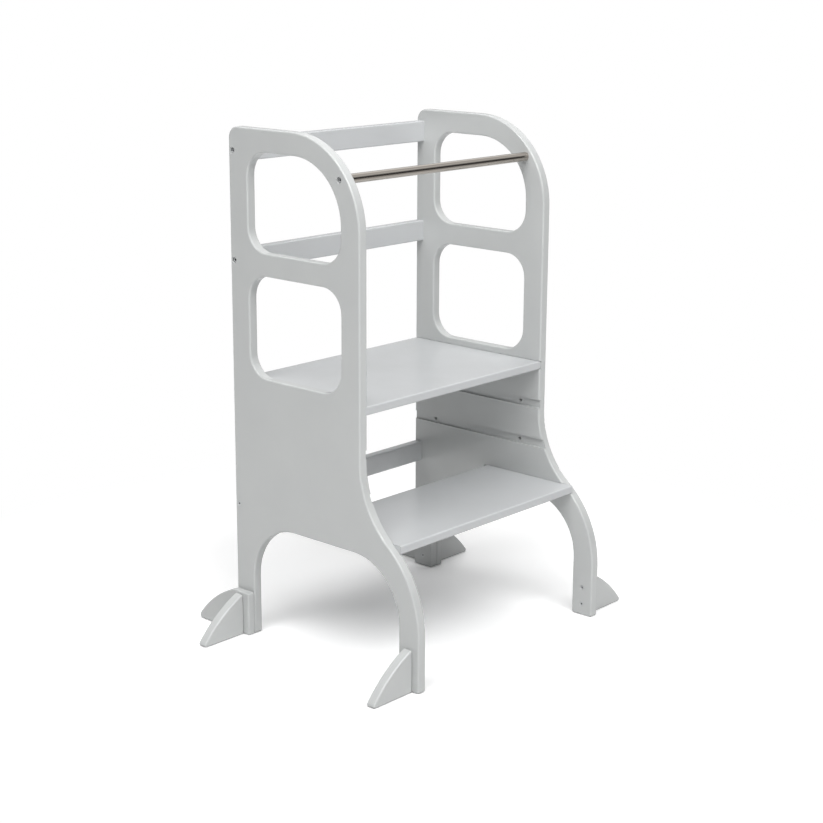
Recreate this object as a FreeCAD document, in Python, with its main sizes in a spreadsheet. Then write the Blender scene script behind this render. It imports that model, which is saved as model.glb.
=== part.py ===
"""Toddler kitchen helper stool: a wooden tower that holds a small child at worktop height.

Two shaped side panels carry a platform and a step in grooves. Three slats close the back, a steel
rail closes the front, and wooden fins on the feet keep the tower from tipping.

Frame: X runs from the left side to the right, -Y is the front where the child climbs in, +Z is up.
The origin is on the floor, under the middle of the whole footprint. Lengths are in millimetres.
"""

import FreeCAD, Part
import math
import os

import Sketcher
from FreeCAD import Placement, Rotation, Vector

# ----------------------------------------------------------------------------------------
# Driving dimensions: alias, value, meaning
# ----------------------------------------------------------------------------------------

SIZES = (
    # side panels
    ("overall_height", 900.0, "floor to the top of the side panels"),
    ("outer_width", 492.0, "over the outer faces of the two panels"),
    ("panel_thickness", 18.0, "side panel board"),
    ("panel_depth", 305.5, "upper part of a panel, rear edge to front edge"),
    ("foot_depth", 438.0, "feet of a panel, rear edge to front edge"),
    ("leg_width", 44.5, "width of each leg seen from the side"),
    ("top_front_radius", 155.0, "large rounded corner above the rail"),
    ("top_rear_radius", 20.0, "small rounded corner above the top slat"),
    ("sweep_rise", 143.0, "underside of the step to where the front edge starts to sweep forwards"),
    ("sweep_upper_radius", 165.0, "hollow part of the sweep"),
    ("sweep_lower_radius", 185.0, "full part of the sweep, down to the front leg"),
    ("arch_web", 15.0, "board left between the arch of the legs and the underside of the step"),
    ("arch_radius", 104.0, "rounded upper corners of the arch"),
    ("foot_corner_radius", 4.0, "corners of the legs at the floor"),
    ("edge_radius", 3.0, "rounding of the long board edges"),
    # windows in the side panels
    ("window_front_margin", 42.5, "board left in front of a window"),
    ("window_rear_margin", 45.0, "board left behind a window"),
    ("window_sill", 12.5, "top of the platform to the lower window"),
    ("window_bar", 39.5, "board left between the two windows"),
    ("window_top_margin", 39.0, "board left above the upper window"),
    ("lower_window_share", 0.5137, "share of the lower window in the height of both windows"),
    ("window_radius", 42.0, "rounded window corners"),
    ("big_corner_share", 0.635, "corner that follows the panel, as a share of the upper window's height"),
    # platform and step
    ("shelf_thickness", 15.0, "platform and step board"),
    ("platform_underside", 447.5, "floor to the underside of the platform"),
    ("platform_setback", 1.5, "platform front edge behind the panel front edge"),
    ("step_setback", 53.0, "step front edge behind the front edge of the feet"),
    ("step_depth", 202.0, "front edge to rear edge of the step"),
    # grooves
    ("groove_depth", 4.0, "depth of the shelf grooves"),
    ("groove_play", 0.5, "groove height over the shelf thickness"),
    ("groove_pitch", 73.5, "height from one groove to the next"),
    ("shelf_end_play", 0.3, "gap between a shelf end and its groove floor"),
    # rear slats
    ("slat_height", 38.0, "height of a rear slat"),
    ("slat_thickness", 18.0, "thickness of a rear slat"),
    ("slat_edge_radius", 2.5, "rounding of the long slat edges"),
    ("top_slat_drop", 40.5, "top of the panels to the middle of the top slat"),
    ("lower_slat_rise", 10.0, "underside of the step to the middle of the lower slat"),
    # front rail
    ("rail_diameter", 16.0, "steel tube"),
    ("rail_wall", 1.5, "wall of the steel tube"),
    ("rail_drop", 68.5, "top of the panels to the axis of the rail"),
    ("rail_setback", 45.0, "rail axis behind the front edge of the panels"),
    ("plug_length", 27.0, "threaded plug in each end of the rail"),
    # fins
    ("fin_thickness", 18.0, "side fin board"),
    ("fin_reach", 91.0, "face that a side fin stands on to the tip of the fin"),
    ("fin_height", 75.0, "height of a side fin at its root"),
    ("fin_radius", 245.0, "arched upper edge of a side fin"),
    ("fin_tip_radius", 4.0, "blunt tip of a side fin"),
    ("heel_thickness", 15.0, "heel fin board"),
    ("heel_reach", 88.0, "rear edge of the panels to the tip of a heel fin"),
    ("heel_height", 79.0, "height of a heel fin along the leg"),
    ("heel_flat", 34.0, "level top edge of a heel fin"),
    ("heel_shoulder_radius", 25.0, "bend between the level and the arched top edge"),
    ("heel_radius", 211.0, "arched upper edge of a heel fin"),
    ("heel_tip_radius", 6.5, "blunt tip of a heel fin"),
    ("fin_corner_radius", 3.0, "corners of a fin at its root"),
    # screws with a hexagon socket, which hold the slats and the rail
    ("bolt_diameter", 6.0, "shank of a slat or rail screw"),
    ("bolt_head_diameter", 9.4, "head of such a screw"),
    ("bolt_head_height", 4.0, "height of the head"),
    ("bolt_chamfer", 0.75, "bevel of the shank's end and of the head"),
    ("bolt_socket", 4.0, "hexagon socket, across its flats"),
    ("bolt_socket_depth", 2.6, "depth of the hexagon socket"),
    ("bolt_recess_diameter", 10.4, "recess for the head in the panel"),
    ("bolt_recess_depth", 7.0, "depth of that recess"),
    ("bolt_reach", 24.0, "length of the shank beyond the panel"),
    ("shank_play", 0.4, "diameter of a free hole over the shank of its screw"),
    ("sleeve_diameter", 10.0, "threaded sleeve in the end of a slat"),
    ("sleeve_length", 26.0, "length of the threaded sleeve"),
    ("thread_play", 0.05, "clearance of a screw or pin in what it grips, over the diameter"),
    # countersunk wood screws, which hold the fins and the lower slat
    ("screw_diameter", 4.5, "shank of a wood screw"),
    ("screw_head_diameter", 8.4, "head of a wood screw"),
    ("screw_socket_diameter", 4.4, "star recess in the head"),
    ("screw_socket_depth", 2.2, "depth of the star recess"),
    ("screw_point", 6.0, "length of the pointed end"),
    ("screw_grip", 26.0, "length of a wood screw inside the last board"),
    ("screw_sink", 0.5, "head below the board face"),
    ("upper_screw_height", 53.0, "floor to the upper fin screw"),
    ("lower_screw_height", 21.5, "floor to the lower fin screw"),
    # wooden pins
    ("pin_diameter", 6.0, "pins of the shelves and the slats"),
    ("pin_chamfer", 0.75, "bevel of a pin's ends"),
    ("pin_panel_depth", 9.0, "length of a pin in the side panel"),
    ("pin_board_depth", 15.0, "length of a pin in a shelf or a slat"),
    ("pin_hole_play", 0.5, "extra depth of a pin hole"),
    ("rear_pin_inset", 50.5, "rear edge of the platform to its rear pin"),
    ("front_pin_inset", 45.0, "front edge of the platform to its front pin"),
    ("step_pin_inset", 45.0, "front or rear edge of the step to its pin"),
    ("slat_pin_drop", 12.0, "slat pin below the slat screw"),
)

doc = FreeCAD.newDocument("helper_stool")
sheet = doc.addObject("Spreadsheet::Sheet", "Sizes")
for row, (alias, value, meaning) in enumerate(SIZES, start=1):
    sheet.set(f"A{row}", meaning)
    sheet.set(f"B{row}", str(value))
    sheet.setAlias(f"B{row}", alias)
doc.recompute()

# Places that several pieces share, written once as expressions on the sheet
REAR_EDGE = "(Sizes.foot_depth - Sizes.heel_reach) / 2"
INNER_FACE = "(Sizes.outer_width / 2 - Sizes.panel_thickness)"
OUTER_FACE = "(Sizes.outer_width / 2)"
REAR_LEG_MIDDLE = f"({REAR_EDGE} - Sizes.leg_width / 2)"
FRONT_LEG_MIDDLE = f"({REAR_EDGE} - Sizes.foot_depth + Sizes.leg_width / 2)"
SHELF_END = f"({INNER_FACE} + Sizes.groove_depth - Sizes.shelf_end_play)"
BOLT_SEAT = f"({OUTER_FACE} - Sizes.bolt_recess_depth)"
SLAT_MIDDLE = f"({REAR_EDGE} - Sizes.slat_thickness / 2)"
RAIL_AXIS = "(Sizes.panel_depth - Sizes.rail_setback)"
RAIL_HEIGHT = "(Sizes.overall_height - Sizes.rail_drop)"
PLATFORM_LEVELS = 3
STEP_UNDERSIDE = f"(Sizes.platform_underside - {PLATFORM_LEVELS} * Sizes.groove_pitch)"
PLATFORM_FRONT = "(Sizes.panel_depth - Sizes.platform_setback)"
PLATFORM_FRONT_PIN = f"({PLATFORM_FRONT} - Sizes.front_pin_inset)"
STEP_FRONT = "(Sizes.foot_depth - Sizes.step_setback)"
STEP_REAR = f"({STEP_FRONT} - Sizes.step_depth)"
STEP_FRONT_PIN = f"({STEP_FRONT} - Sizes.step_pin_inset)"
STEP_REAR_PIN = f"({STEP_REAR} + Sizes.step_pin_inset)"
SWEEP_TOP = f"({STEP_UNDERSIDE} + Sizes.sweep_rise)"
ARCH_TOP = f"({STEP_UNDERSIDE} - Sizes.arch_web)"
LOWER_SILL = "(Sizes.platform_underside + Sizes.shelf_thickness + Sizes.window_sill)"
UPPER_HEAD = "(Sizes.overall_height - Sizes.window_top_margin)"
BOTH_WINDOWS = f"({UPPER_HEAD} - Sizes.window_bar - {LOWER_SILL})"
LOWER_HEAD = f"({LOWER_SILL} + Sizes.lower_window_share * {BOTH_WINDOWS})"
UPPER_SILL = f"({LOWER_HEAD} + Sizes.window_bar)"
BIG_CORNER = f"(Sizes.big_corner_share * ({UPPER_HEAD} - {UPPER_SILL}))"
PIN_HOLE = "Sizes.pin_diameter + Sizes.thread_play"
BOARD_PIN_DEPTH = "Sizes.pin_board_depth + Sizes.pin_hole_play"
SCREW_GRIP_HOLE = "Sizes.screw_diameter + Sizes.thread_play"
SCREW_FREE_HOLE = "Sizes.screw_diameter + Sizes.shank_play"
SCREW_CONE = "(Sizes.screw_head_diameter - Sizes.screw_diameter) / 2"
SLAT_HEIGHTS = {
    "top_slat": "(Sizes.overall_height - Sizes.top_slat_drop)",
    "middle_slat": f"({LOWER_HEAD} + Sizes.window_bar / 2)",
    "lower_slat": f"({STEP_UNDERSIDE} + Sizes.lower_slat_rise)",
}
RIGHT, LEFT = 1, -1


def size(alias):
    """Value of one driving dimension."""
    return float(sheet.get(alias))


def number(expression):
    """Value of an expression on the sheet."""
    return float(sheet.evalExpression(expression))


# ----------------------------------------------------------------------------------------
# Drawing helpers
# ----------------------------------------------------------------------------------------


def attach(feature, body, role):
    """Attach a feature to one of the body's origin planes."""
    plane = next(datum for datum in body.Origin.OriginFeatures if datum.Role == role)
    feature.AttachmentSupport = [(plane, "")]
    feature.MapMode = "FlatFace"


def new_sketch(body, role, name, lift=None):
    """Sketch on one of the body's origin planes, raised off it by the expression lift."""
    sketch = body.newObject("Sketcher::SketchObject", name)
    attach(sketch, body, role)
    if lift:
        sketch.setExpression("AttachmentOffset.Base.z", lift)
    return sketch


def bind(sketch, name, kind, places, expression):
    """Dimension of a sketch whose value is an expression on the sheet."""
    index = sketch.addConstraint(Sketcher.Constraint(kind, *places, number(expression)))
    sketch.renameConstraint(index, name)
    sketch.setExpression(f"Constraints.{name}", expression)


class Outline:
    """Closed chain of lines and arcs in a sketch, each edge tangent to the next."""

    START, END, CENTRE = 1, 2, 3
    ORIGIN = (-1, 1)

    def __init__(self, sketch, label="outline"):
        self.sketch = sketch
        self.label = label
        self.edges = []

    def line(self, start, end):
        """Upright or level line from start to end."""
        points = [Vector(*start, 0), Vector(*end, 0)]
        index = self.sketch.addGeometry(Part.LineSegment(*points))
        level = abs(start[1] - end[1]) < abs(start[0] - end[0])
        self.sketch.addConstraint(Sketcher.Constraint("Horizontal" if level else "Vertical", index))
        self.edges.append((index, self.START, self.END))
        return index

    def arc(self, centre, radius, first, last):
        """Arc from angle first to angle last in degrees, anticlockwise when last is larger."""
        circle = Part.Circle(Vector(*centre, 0), Vector(0, 0, 1), radius)
        low, high = sorted((math.radians(first), math.radians(last)))
        index = self.sketch.addGeometry(Part.ArcOfCircle(circle, low, high))
        ends = (self.START, self.END) if last > first else (self.END, self.START)
        self.edges.append((index, *ends))
        return index

    def close(self, sharp=()):
        """Join every edge to the next: tangent, or a plain corner after the edges named in sharp."""
        for (edge, _, end), (following, start, _) in zip(self.edges, self.edges[1:] + self.edges[:1]):
            kind = "Coincident" if edge in sharp else "Tangent"
            self.sketch.addConstraint(Sketcher.Constraint(kind, edge, end, following, start))

    def radius(self, edge, expression):
        """Radius of an arc."""
        bind(self.sketch, f"{self.label}_radius_{edge}", "Radius", (edge,), expression)

    def left_of_origin(self, edge, point, expression):
        """Distance of a point to the left of the sketch origin."""
        name = f"{self.label}_left_{edge}"
        bind(self.sketch, name, "DistanceX", (edge, point, *self.ORIGIN), expression)

    def right_of_origin(self, edge, point, expression):
        """Distance of a point to the right of the sketch origin."""
        name = f"{self.label}_right_{edge}"
        bind(self.sketch, name, "DistanceX", (*self.ORIGIN, edge, point), expression)

    def above_origin(self, edge, point, expression):
        """Distance of a point above the sketch origin."""
        name = f"{self.label}_above_{edge}"
        bind(self.sketch, name, "DistanceY", (*self.ORIGIN, edge, point), expression)

    def on_level_axis(self, edge):
        """Put the start of an edge on the sketch's level axis."""
        self.sketch.addConstraint(Sketcher.Constraint("PointOnObject", edge, self.START, -1))

    def on_upright_axis(self, edge):
        """Put the start of an edge on the sketch's upright axis."""
        self.sketch.addConstraint(Sketcher.Constraint("PointOnObject", edge, self.START, -2))


def circle(sketch, name, left, above, diameter):
    """Circle with expressions for its centre, to the left of and above the origin, and diameter."""
    centre = Vector(-number(left), number(above), 0)
    index = sketch.addGeometry(Part.Circle(centre, Vector(0, 0, 1), number(diameter) / 2))
    bind(sketch, f"{name}_left", "DistanceX", (index, 3, -1, 1), left)
    bind(sketch, f"{name}_above", "DistanceY", (-1, 1, index, 3), above)
    bind(sketch, f"{name}_diameter", "Diameter", (index,), diameter)


def rounded_window(sketch, label, front, rear, bottom, top, big_corner="Sizes.window_radius"):
    """Rounded rectangle; front and rear are to the left of the origin, big_corner is front top."""
    left, right, low, high = -number(front), -number(rear), number(bottom), number(top)
    corner, big = size("window_radius"), number(big_corner)
    shape = Outline(sketch, label)
    sill = shape.line((left + corner, low), (right - corner, low))
    rear_low = shape.arc((right - corner, low + corner), corner, -90, 0)
    rear_side = shape.line((right, low + corner), (right, high - corner))
    rear_high = shape.arc((right - corner, high - corner), corner, 0, 90)
    head = shape.line((right - corner, high), (left + big, high))
    front_high = shape.arc((left + big, high - big), big, 90, 180)
    front_side = shape.line((left, high - big), (left, low + corner))
    front_low = shape.arc((left + corner, low + corner), corner, 180, 270)
    shape.close()
    for arc in (rear_low, rear_high, front_low):
        shape.radius(arc, "Sizes.window_radius")
    shape.radius(front_high, big_corner)
    shape.above_origin(sill, shape.START, bottom)
    shape.above_origin(head, shape.START, top)
    shape.left_of_origin(rear_side, shape.START, rear)
    shape.left_of_origin(front_side, shape.START, front)


def join_corners(sketch, corners):
    """Closed chain of straight lines from corner to corner."""
    ends = zip(corners, corners[1:] + corners[:1])
    sides = [sketch.addGeometry(Part.LineSegment(start, end)) for start, end in ends]
    for side, following in zip(sides, sides[1:] + sides[:1]):
        sketch.addConstraint(Sketcher.Constraint("Coincident", side, 2, following, 1))
    return sides


def rectangle(sketch, name, low, high):
    """Rectangle from corner low to corner high, each a pair of expressions from the origin."""
    x1, y1, x2, y2 = (number(text) for text in (*low, *high))
    corners = [Vector(x1, y1, 0), Vector(x2, y1, 0), Vector(x2, y2, 0), Vector(x1, y2, 0)]
    sides = join_corners(sketch, corners)
    for side, kind in zip(sides, ("Horizontal", "Vertical", "Horizontal", "Vertical")):
        sketch.addConstraint(Sketcher.Constraint(kind, side))
    bind(sketch, f"{name}_x1", "DistanceX", (-1, 1, sides[0], 1), low[0])
    bind(sketch, f"{name}_y1", "DistanceY", (-1, 1, sides[0], 1), low[1])
    bind(sketch, f"{name}_x2", "DistanceX", (-1, 1, sides[2], 1), high[0])
    bind(sketch, f"{name}_y2", "DistanceY", (-1, 1, sides[2], 1), high[1])


# ----------------------------------------------------------------------------------------
# Feature helpers
# ----------------------------------------------------------------------------------------


def new_body(name):
    """Empty body with its own label."""
    body = doc.addObject("PartDesign::Body", name)
    body.Label = name
    return body


def place(item, x, y, z, turned=False):
    """Put an item at three expressions, turned half round about Z if asked."""
    turn = Rotation(Vector(0, 0, 1), 180 * turned)
    item.Placement = Placement(Vector(number(x), number(y), number(z)), turn)
    for axis, expression in zip("xyz", (x, y, z)):
        item.setExpression(f"Placement.Base.{axis}", expression)


def pad(body, sketch, name, length, reverse=False, both_ways=False):
    """Pad a sketch by an expression."""
    feature = body.newObject("PartDesign::Pad", name)
    feature.Profile = sketch
    feature.SideType = "Symmetric" if both_ways else "One side"
    feature.Reversed = reverse
    feature.setExpression("Length", length)
    doc.recompute()
    return feature


def pocket(body, sketch, name, depth, reverse=False):
    """Cut a sketch out of the body and make sure that the cut took material away."""
    before = body.Shape.Volume
    feature = body.newObject("PartDesign::Pocket", name)
    feature.Profile = sketch
    feature.Reversed = reverse
    feature.setExpression("Length", depth)
    doc.recompute()
    if body.Shape.Volume >= before:
        raise ValueError(f"{body.Label}: {name} cuts nothing")
    return feature


def round_edges(body, name, radius, wanted):
    """Round every edge of the body's last feature that the function wanted picks."""
    base = body.Tip
    edges = [f"Edge{n}" for n, edge in enumerate(base.Shape.Edges, start=1) if wanted(edge)]
    feature = body.newObject("PartDesign::Fillet", name)
    feature.Base = (base, edges)
    feature.setExpression("Radius", radius)
    doc.recompute()
    return feature


def across(axis):
    """Test for an edge that lies in a plane square to an axis of the body: 0 is X, 1 is Y."""

    def test(edge):
        spread = (edge.BoundBox.XLength, edge.BoundBox.YLength, edge.BoundBox.ZLength)[axis]
        return spread < 1e-4

    return test


def along(axis):
    """Test for an edge that runs along an axis of the body."""
    names = ("XLength", "YLength", "ZLength")

    def test(edge):
        return all(getattr(edge.BoundBox, name) < 1e-4 for name in names if name != names[axis])

    return test


# ----------------------------------------------------------------------------------------
# Side panels
# ----------------------------------------------------------------------------------------


def draw_panel_outline(sketch):
    """Outer outline of a side panel, with its rear edge at the origin and its front to the left."""
    height, foot = size("overall_height"), size("foot_corner_radius")
    depth, deep = size("panel_depth"), size("foot_depth")
    leg, arch, arch_r = size("leg_width"), number(ARCH_TOP), size("arch_radius")
    front_r, rear_r = size("top_front_radius"), size("top_rear_radius")
    sweep, hollow, full = number(SWEEP_TOP), size("sweep_upper_radius"), size("sweep_lower_radius")
    # the two sweep arcs meet where their common tangent leans by this angle from upright
    lean = math.degrees(math.acos(1 - (deep - depth) / (hollow + full)))
    sweep_end = sweep - (hollow + full) * math.sin(math.radians(lean))

    shape = Outline(sketch)
    rear_sole = shape.line((-leg + foot, 0), (-foot, 0))
    feet = [shape.arc((-foot, foot), foot, -90, 0)]
    rear_edge = shape.line((0, foot), (0, height - rear_r))
    top_rear = shape.arc((-rear_r, height - rear_r), rear_r, 0, 90)
    top_edge = shape.line((-rear_r, height), (-depth + front_r, height))
    top_front = shape.arc((-depth + front_r, height - front_r), front_r, 90, 180)
    front_edge = shape.line((-depth, height - front_r), (-depth, sweep))
    sweep_hollow = shape.arc((-depth - hollow, sweep), hollow, 0, -lean)
    sweep_full = shape.arc((-deep + full, sweep_end), full, 180 - lean, 180)
    front_leg = shape.line((-deep, sweep_end), (-deep, foot))
    feet.append(shape.arc((-deep + foot, foot), foot, 180, 270))
    front_sole = shape.line((-deep + foot, 0), (-deep + leg - foot, 0))
    feet.append(shape.arc((-deep + leg - foot, foot), foot, 270, 360))
    arch_front = shape.line((-deep + leg, foot), (-deep + leg, arch - arch_r))
    arch_front_arc = shape.arc((-deep + leg + arch_r, arch - arch_r), arch_r, 180, 90)
    arch_top = shape.line((-deep + leg + arch_r, arch), (-leg - arch_r, arch))
    arch_rear_arc = shape.arc((-leg - arch_r, arch - arch_r), arch_r, 90, 0)
    arch_rear = shape.line((-leg, arch - arch_r), (-leg, foot))
    feet.append(shape.arc((-leg + foot, foot), foot, 180, 270))
    shape.close()

    for arc in feet:
        shape.radius(arc, "Sizes.foot_corner_radius")
    shape.radius(top_rear, "Sizes.top_rear_radius")
    shape.radius(top_front, "Sizes.top_front_radius")
    shape.radius(sweep_hollow, "Sizes.sweep_upper_radius")
    shape.radius(sweep_full, "Sizes.sweep_lower_radius")
    shape.radius(arch_front_arc, "Sizes.arch_radius")
    shape.radius(arch_rear_arc, "Sizes.arch_radius")
    shape.on_level_axis(rear_sole)
    shape.on_level_axis(front_sole)
    shape.on_upright_axis(rear_edge)
    shape.above_origin(top_edge, shape.START, "Sizes.overall_height")
    shape.above_origin(sweep_hollow, shape.CENTRE, SWEEP_TOP)
    shape.above_origin(arch_top, shape.START, ARCH_TOP)
    shape.left_of_origin(front_edge, shape.START, "Sizes.panel_depth")
    shape.left_of_origin(front_leg, shape.START, "Sizes.foot_depth")
    shape.left_of_origin(arch_front, shape.START, "Sizes.foot_depth - Sizes.leg_width")
    shape.left_of_origin(arch_rear, shape.START, "Sizes.leg_width")


def draw_platform_groove(sketch, name, spare):
    """Groove that runs right through the panel from front to rear, spare pitches below the platform."""
    bottom = f"Sizes.platform_underside - {spare} * Sizes.groove_pitch"
    rectangle(
        sketch, name, ("-2 * Sizes.foot_depth", bottom),
        ("Sizes.leg_width", f"{bottom} + Sizes.shelf_thickness + Sizes.groove_play"),
    )


def draw_step_groove(sketch):
    """Groove of the step: open at the front, with the round end of the cutter behind the step."""
    gap = size("shelf_thickness") + size("groove_play")
    low, high = number(STEP_UNDERSIDE), number(STEP_UNDERSIDE) + gap
    end, front = -number(STEP_REAR), -2 * size("foot_depth")
    shape = Outline(sketch, "step_groove")
    bottom = shape.line((front, low), (end, low))
    cutter_end = shape.arc((end, low + gap / 2), gap / 2, -90, 90)
    top = shape.line((end, high), (front, high))
    mouth = shape.line((front, high), (front, low))
    shape.close(sharp=(top, mouth))
    shape.radius(cutter_end, "(Sizes.shelf_thickness + Sizes.groove_play) / 2")
    shape.above_origin(bottom, shape.START, STEP_UNDERSIDE)
    shape.left_of_origin(cutter_end, shape.CENTRE, STEP_REAR)
    shape.left_of_origin(mouth, shape.START, "2 * Sizes.foot_depth")


def shelf_pin_places():
    """Name and place of each shelf pin hole in a panel: the platform's levels, then the step."""
    shelf_middle = "Sizes.shelf_thickness / 2"
    places = []
    for spare in range(PLATFORM_LEVELS):
        above = f"Sizes.platform_underside - {spare} * Sizes.groove_pitch + {shelf_middle}"
        places.append((f"rear_pin_{spare}", "Sizes.rear_pin_inset", above))
        places.append((f"front_pin_{spare}", PLATFORM_FRONT_PIN, above))
    for name, left in (("step_rear_pin", STEP_REAR_PIN), ("step_front_pin", STEP_FRONT_PIN)):
        places.append((name, left, f"{STEP_UNDERSIDE} + {shelf_middle}"))
    return places


def bolt_places():
    """Name and place of each recessed screw in a panel: two slats and the rail."""
    slat_depth = "Sizes.slat_thickness / 2"
    return (
        ("top_slat_bolt", slat_depth, SLAT_HEIGHTS["top_slat"]),
        ("middle_slat_bolt", slat_depth, SLAT_HEIGHTS["middle_slat"]),
        ("rail_bolt", RAIL_AXIS, RAIL_HEIGHT),
    )


def fin_screw_places():
    """Name and place of each fin screw in a panel."""
    places = []
    half_leg = "Sizes.leg_width / 2"
    for leg, left in (("rear", half_leg), ("front", f"Sizes.foot_depth - {half_leg}")):
        for level in ("upper", "lower"):
            places.append((f"{leg}_{level}_screw", left, f"Sizes.{level}_screw_height"))
    return places


def screw_cut(body, name, place_on_face, face, into, side):
    """Free hole and countersink of a wood screw that enters the face at that lift, towards into."""
    sketch = new_sketch(body, "YZ_Plane", f"{name}_sketch")
    circle(sketch, name, *place_on_face, SCREW_FREE_HOLE)
    pocket(body, sketch, name, "Sizes.panel_thickness", reverse=side == RIGHT)
    cone = body.newObject("PartDesign::SubtractiveCone", f"{name}_countersink")
    attach(cone, body, "YZ_Plane")
    left, above = place_on_face
    cone.setExpression("AttachmentOffset.Base.x", f"-({left})")
    cone.setExpression("AttachmentOffset.Base.y", above)
    cone.setExpression("AttachmentOffset.Base.z", face)
    if into == LEFT:
        cone.AttachmentOffset = Placement(cone.AttachmentOffset.Base, Rotation(Vector(1, 0, 0), 180))
    cone.setExpression("Radius1", "Sizes.screw_head_diameter / 2 + Sizes.screw_sink")
    cone.setExpression("Radius2", "Sizes.screw_diameter / 2")
    cone.setExpression("Height", f"{SCREW_CONE} + Sizes.screw_sink")
    doc.recompute()


def make_side_panel(label, side):
    """Side panel whose local origin is on its inner face, at the rear edge and the floor."""
    body = new_body(label)
    into_board = side == RIGHT
    outline = new_sketch(body, "YZ_Plane", "outline")
    draw_panel_outline(outline)
    pad(body, outline, "board", "Sizes.panel_thickness", reverse=side == LEFT)

    windows = new_sketch(body, "YZ_Plane", "windows")
    front = "Sizes.panel_depth - Sizes.window_front_margin"
    rear = "Sizes.window_rear_margin"
    rounded_window(windows, "lower", front, rear, LOWER_SILL, LOWER_HEAD)
    rounded_window(windows, "upper", front, rear, UPPER_SILL, UPPER_HEAD, BIG_CORNER)
    pocket(body, windows, "window_openings", "Sizes.panel_thickness", reverse=into_board)
    round_edges(body, "rounded_edges", "Sizes.edge_radius", across(0))

    grooves = new_sketch(body, "YZ_Plane", "platform_grooves_sketch")
    for spare in range(PLATFORM_LEVELS):
        draw_platform_groove(grooves, f"groove_{spare}", spare)
    pocket(body, grooves, "platform_grooves", "Sizes.groove_depth", reverse=into_board)
    step_groove = new_sketch(body, "YZ_Plane", "step_groove_sketch")
    draw_step_groove(step_groove)
    pocket(body, step_groove, "step_groove", "Sizes.groove_depth", reverse=into_board)

    shelf_pins = new_sketch(body, "YZ_Plane", "shelf_pin_sketch")
    for name, left, above in shelf_pin_places():
        circle(shelf_pins, name, left, above, PIN_HOLE)
    shelf_pin_depth = "Sizes.groove_depth + Sizes.pin_panel_depth + Sizes.pin_hole_play"
    pocket(body, shelf_pins, "shelf_pin_holes", shelf_pin_depth, reverse=into_board)
    slat_pins = new_sketch(body, "YZ_Plane", "slat_pin_sketch")
    for slat, height in SLAT_HEIGHTS.items():
        pin_height = f"{height} - Sizes.slat_pin_drop"
        circle(slat_pins, slat, "Sizes.slat_thickness / 2", pin_height, PIN_HOLE)
    slat_pin_depth = "Sizes.pin_panel_depth + Sizes.pin_hole_play"
    pocket(body, slat_pins, "slat_pin_holes", slat_pin_depth, reverse=into_board)

    outer_lift = "Sizes.panel_thickness" if side == RIGHT else "-Sizes.panel_thickness"
    shanks = new_sketch(body, "YZ_Plane", "bolt_hole_sketch")
    recesses = new_sketch(body, "YZ_Plane", "bolt_recess_sketch", lift=outer_lift)
    for name, left, above in bolt_places():
        circle(shanks, name, left, above, "Sizes.bolt_diameter + Sizes.shank_play")
        circle(recesses, name, left, above, "Sizes.bolt_recess_diameter")
    pocket(body, shanks, "bolt_holes", "Sizes.panel_thickness", reverse=into_board)
    pocket(body, recesses, "bolt_recesses", "Sizes.bolt_recess_depth", reverse=not into_board)

    for name, left, above in fin_screw_places():
        screw_cut(body, name, (left, above), "0", side, side)
    slat_screw = ("Sizes.slat_thickness / 2", SLAT_HEIGHTS["lower_slat"])
    screw_cut(body, "lower_slat_screw", slat_screw, outer_lift, -side, side)

    x = INNER_FACE if side == RIGHT else f"-{INNER_FACE}"
    place(body, x, REAR_EDGE, "0")
    return body


# ----------------------------------------------------------------------------------------
# Boards between the panels
# ----------------------------------------------------------------------------------------


def make_shelf(label, front, depth, underside, pins):
    """Platform or step: a board whose ends sit in the grooves, with two pin holes in each end."""
    body = new_body(label)
    section = new_sketch(body, "YZ_Plane", "section")
    rectangle(section, "board", (f"-({front})", "0"), (f"-({front}) + {depth}", "Sizes.shelf_thickness"))
    pad(body, section, "board", f"2 * {SHELF_END}", both_ways=True)
    round_edges(body, "rounded_edges", "Sizes.edge_radius", along(0))
    for end, name in ((RIGHT, "right"), (LEFT, "left")):
        holes = new_sketch(body, "YZ_Plane", f"{name}_pin_sketch", lift=f"{end} * {SHELF_END}")
        for pin, left in enumerate(pins):
            circle(holes, f"pin_{pin}", left, "Sizes.shelf_thickness / 2", PIN_HOLE)
        pocket(body, holes, f"{name}_pin_holes", BOARD_PIN_DEPTH, reverse=end == LEFT)
    place(body, "0", REAR_EDGE, underside)
    return body


def make_slat(label):
    """Rear slat, butted between the panels, with a screw hole and a pin hole in each end."""
    body = new_body(label)
    section = new_sketch(body, "YZ_Plane", "section")
    low, high = ("-Sizes.slat_thickness", "-Sizes.slat_height / 2"), ("0", "Sizes.slat_height / 2")
    rectangle(section, "board", low, high)
    pad(body, section, "board", f"2 * {INNER_FACE}", both_ways=True)
    round_edges(body, "rounded_edges", "Sizes.slat_edge_radius", along(0))
    screwed = label == "lower_slat"
    grip_hole = SCREW_GRIP_HOLE if screwed else "Sizes.sleeve_diameter + Sizes.thread_play"
    grip_depth = "Sizes.screw_grip + Sizes.pin_hole_play" if screwed else "Sizes.sleeve_length"
    for end, name in ((RIGHT, "right"), (LEFT, "left")):
        face = f"{end} * {INNER_FACE}"
        grip = new_sketch(body, "YZ_Plane", f"{name}_grip_sketch", lift=face)
        circle(grip, "grip", "Sizes.slat_thickness / 2", "0", grip_hole)
        pocket(body, grip, f"{name}_grip_hole", grip_depth, reverse=end == LEFT)
        pin = new_sketch(body, "YZ_Plane", f"{name}_pin_sketch", lift=face)
        circle(pin, "pin", "Sizes.slat_thickness / 2", "-Sizes.slat_pin_drop", PIN_HOLE)
        pocket(body, pin, f"{name}_pin_hole", BOARD_PIN_DEPTH, reverse=end == LEFT)
    place(body, "0", REAR_EDGE, SLAT_HEIGHTS[label])
    return body


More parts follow.
